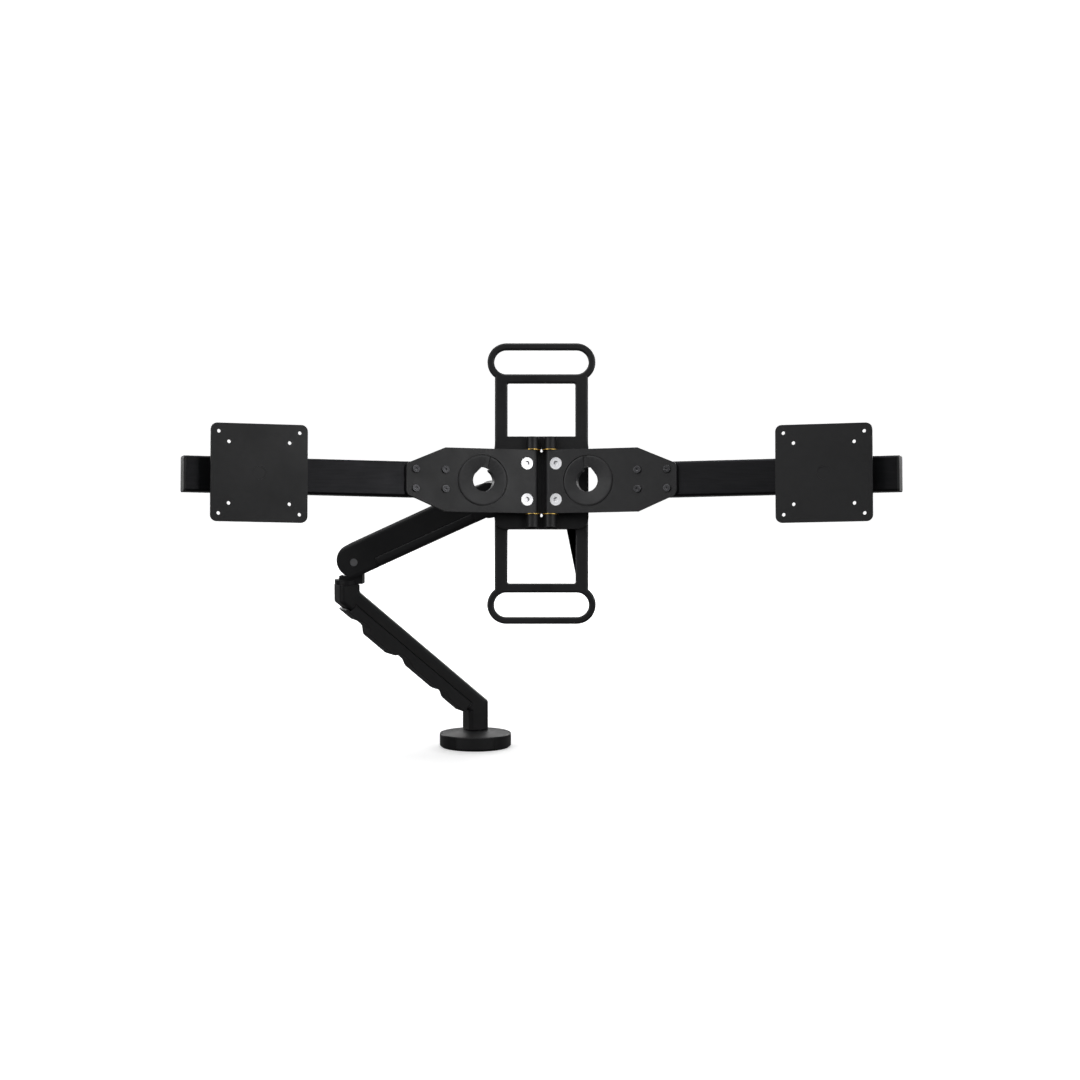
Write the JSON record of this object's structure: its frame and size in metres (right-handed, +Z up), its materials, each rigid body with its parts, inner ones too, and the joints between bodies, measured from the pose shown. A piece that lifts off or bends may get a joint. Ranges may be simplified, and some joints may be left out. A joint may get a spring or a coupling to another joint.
{
  "type": "dual display arm",
  "caption": "Desk arm with a rigid lower link, a sprung upper arm and an upright handled bar whose two folding wings carry display plates.",
  "frame": {"origin": "on the desk surface, on the axis of the round base", "axes": "+Z up, +X to the right of a user who faces the displays, +Y away from the user"},
  "size_m": [0.8841, 0.391, 0.6361],
  "materials": {
    "black_metal": "fine-textured black powder coat",
    "charcoal_metal": "satin charcoal powder coat",
    "black_plastic": "matte black moulding",
    "grommet_plastic": "satin dark grey moulding",
    "anodised": "black anodised extrusion",
    "rubber": "matte",
    "steel": "ground",
    "bright_steel": "bright plated",
    "zinc": "black zinc plated",
    "brass": "turned",
    "bearing_plastic": "natural acetal"
  },
  "bodies": {
    "base": {"desk_pad": "rubber", "base_casting": "black_metal", "base_cover": "black_plastic", "badge_panel": "black_plastic", "swivel_spigot": "steel", "desk_stud": "zinc"},
    "desk_clamp": {"clamp_plate": "black_metal"},
    "clamp_screw": {"clamp_knob": "black_plastic"},
    "lower_link": {"lower_link": "black_metal", "swivel_bush": "bearing_plastic", "cable_cover": "black_plastic", "elbow_bush": "bearing_plastic"},
    "elbow_knuckle": {"elbow_shaft": "steel", "elbow_knuckle": "black_metal", "elbow_pin": "steel", "elbow_link_pin": "steel"},
    "spring_arm": {"arm_shell": "black_metal", "arm_cover": "black_plastic", "arm_spring": "steel", "spring_rod": "zinc"},
    "parallel_link": {"parallel_link": "zinc"},
    "head_knuckle": {"head_knuckle": "black_metal", "head_pin": "steel", "head_link_pin": "steel", "pan_shaft": "steel"},
    "tilt_yoke": {"tilt_yoke": "black_metal", "pan_bush": "bearing_plastic", "pan_cap": "black_plastic", "tilt_pin": "zinc"},
    "toolbar": {"tilt_bracket": "black_metal", "toolbar_frame": "black_metal", "hub_plate": "black_metal", "bracket_screws": "zinc", "hinge_pins": "steel", "hinge_washers": "brass"},
    "wing_left": {"wing_plate_left": "charcoal_metal", "hinge_clamp_left": "black_metal", "hinge_screws_left": "bright_steel", "beam_left": "anodised", "beam_screws_left": "zinc", "beam_cap_left": "black_plastic"},
    "grommet_left": {"grommet_left": "grommet_plastic"},
    "carriage_left": {"carriage_left": "black_metal", "vesa_tilt_pin_left": "zinc"},
    "carriage_knob_left": {"carriage_knob_left": "black_plastic"},
    "display_tilt_left": {"vesa_block_left": "black_metal"},
    "display_plate_left": {"vesa_plate_left": "black_metal"},
    "wing_right": {"wing_plate_right": "charcoal_metal", "hinge_clamp_right": "black_metal", "hinge_screws_right": "bright_steel", "beam_right": "anodised", "beam_screws_right": "zinc", "beam_cap_right": "black_plastic"},
    "grommet_right": {"grommet_right": "grommet_plastic"},
    "carriage_right": {"carriage_right": "black_metal", "vesa_tilt_pin_right": "zinc"},
    "carriage_knob_right": {"carriage_knob_right": "black_plastic"},
    "display_tilt_right": {"vesa_block_right": "black_metal"},
    "display_plate_right": {"vesa_plate_right": "black_metal"}
  },
  "joints": [
    {"name": "clamp_travel", "type": "slide", "parent": "base", "child": "desk_clamp", "axis": [0, 0, -1], "range_m": [-0.015, 0.035]},
    {"name": "clamp_screw", "type": "hinge", "parent": "desk_clamp", "child": "clamp_screw", "pos_m": [0, 0, -0.04], "axis": [0, 0, 1], "range_deg": [-3610, 8410]},
    {"name": "base_swivel", "type": "hinge", "parent": "base", "child": "lower_link", "pos_m": [0, 0, 0.04], "axis": [0, 0, 1], "range_deg": [-90, 90]},
    {"name": "elbow_swivel", "type": "hinge", "parent": "lower_link", "child": "elbow_knuckle", "pos_m": [-0.1648, -0.08002, 0.226], "axis": [0, 0, 1], "range_deg": [-147, 30]},
    {"name": "arm_lift", "type": "hinge", "parent": "elbow_knuckle", "child": "spring_arm", "pos_m": [-0.15189, -0.08156, 0.257], "axis": [-0.1179, -0.993, 0], "range_deg": [-53, 26]},
    {"name": "parallel_link_swing", "type": "hinge", "parent": "elbow_knuckle", "child": "parallel_link", "pos_m": [-0.15189, -0.08156, 0.271], "axis": [-0.1179, -0.993, 0], "range_deg": [-53.5, 26.5]},
    {"name": "head_level", "type": "hinge", "parent": "spring_arm", "child": "head_knuckle", "pos_m": [0.02241, -0.10225, 0.3387], "axis": [-0.1179, -0.993, 0], "range_deg": [-26.5, 53.5]},
    {"name": "head_pan", "type": "hinge", "parent": "head_knuckle", "child": "tilt_yoke", "pos_m": [0.08794, -0.11003, 0.3387], "axis": [0, 0, -1], "range_deg": [-90, 25]},
    {"name": "head_tilt", "type": "hinge", "parent": "tilt_yoke", "child": "toolbar", "pos_m": [0.08794, -0.14563, 0.3604], "axis": [-1, 0, 0], "range_deg": [-15, 15]},
    {"name": "wing_left_fold", "type": "hinge", "parent": "toolbar", "child": "wing_left", "pos_m": [0.07665, -0.19003, 0.36767], "axis": [0, 0.1616, 0.9869], "range_deg": [-16.5, 18]},
    {"name": "grommet_left_turn", "type": "hinge", "parent": "wing_left", "child": "grommet_left", "pos_m": [0.0124, -0.20881, 0.37074], "axis": [-0.284, 0.9462, -0.1549], "range_deg": [-180, 180]},
    {"name": "carriage_left_slide", "type": "slide", "parent": "wing_left", "child": "carriage_left", "axis": [-0.9588, -0.2803, 0.0459], "range_m": [-0.08, 0.05]},
    {"name": "carriage_left_knob", "type": "hinge", "parent": "carriage_left", "child": "carriage_knob_left", "pos_m": [-0.26658, -0.28492, 0.35281], "axis": [0, 0.1616, 0.9869], "range_deg": [-180, 180]},
    {"name": "display_left_tilt", "type": "hinge", "parent": "carriage_left", "child": "display_tilt_left", "pos_m": [-0.25948, -0.30373, 0.38629], "axis": [-0.9588, -0.2803, 0.0459], "range_deg": [-10, 20]},
    {"name": "display_left_turn", "type": "hinge", "parent": "display_tilt_left", "child": "display_plate_left", "pos_m": [-0.25522, -0.31792, 0.38861], "axis": [-0.284, 0.9462, -0.1549], "range_deg": [-90, 90]},
    {"name": "wing_right_fold", "type": "hinge", "parent": "toolbar", "child": "wing_right", "pos_m": [0.09924, -0.19003, 0.36767], "axis": [0, -0.1616, -0.9869], "range_deg": [-16.5, 18]},
    {"name": "grommet_right_turn", "type": "hinge", "parent": "wing_right", "child": "grommet_right", "pos_m": [0.14814, -0.20433, 0.37001], "axis": [0.284, 0.9462, -0.1549], "range_deg": [-180, 180]},
    {"name": "carriage_right_slide", "type": "slide", "parent": "wing_right", "child": "carriage_right", "axis": [0.9588, -0.2803, 0.0459], "range_m": [-0.08, 0.05]},
    {"name": "carriage_right_knob", "type": "hinge", "parent": "carriage_right", "child": "carriage_knob_right", "pos_m": [0.44247, -0.28492, 0.35281], "axis": [0, 0.1616, 0.9869], "range_deg": [-180, 180]},
    {"name": "display_right_tilt", "type": "hinge", "parent": "carriage_right", "child": "display_tilt_right", "pos_m": [0.43537, -0.30373, 0.38629], "axis": [-0.9588, 0.2803, -0.0459], "range_deg": [-10, 20]},
    {"name": "display_right_turn", "type": "hinge", "parent": "display_tilt_right", "child": "display_plate_right", "pos_m": [0.43111, -0.31792, 0.38861], "axis": [0.284, 0.9462, -0.1549], "range_deg": [-90, 90]}
  ],
  "couplings": [
    {"joint": "clamp_screw", "follows": "clamp_travel", "rad_per_m": 4188.8},
    {"joint": "parallel_link_swing", "follows": "arm_lift", "ratio": 1},
    {"joint": "head_level", "follows": "arm_lift", "ratio": -1}
  ]
}
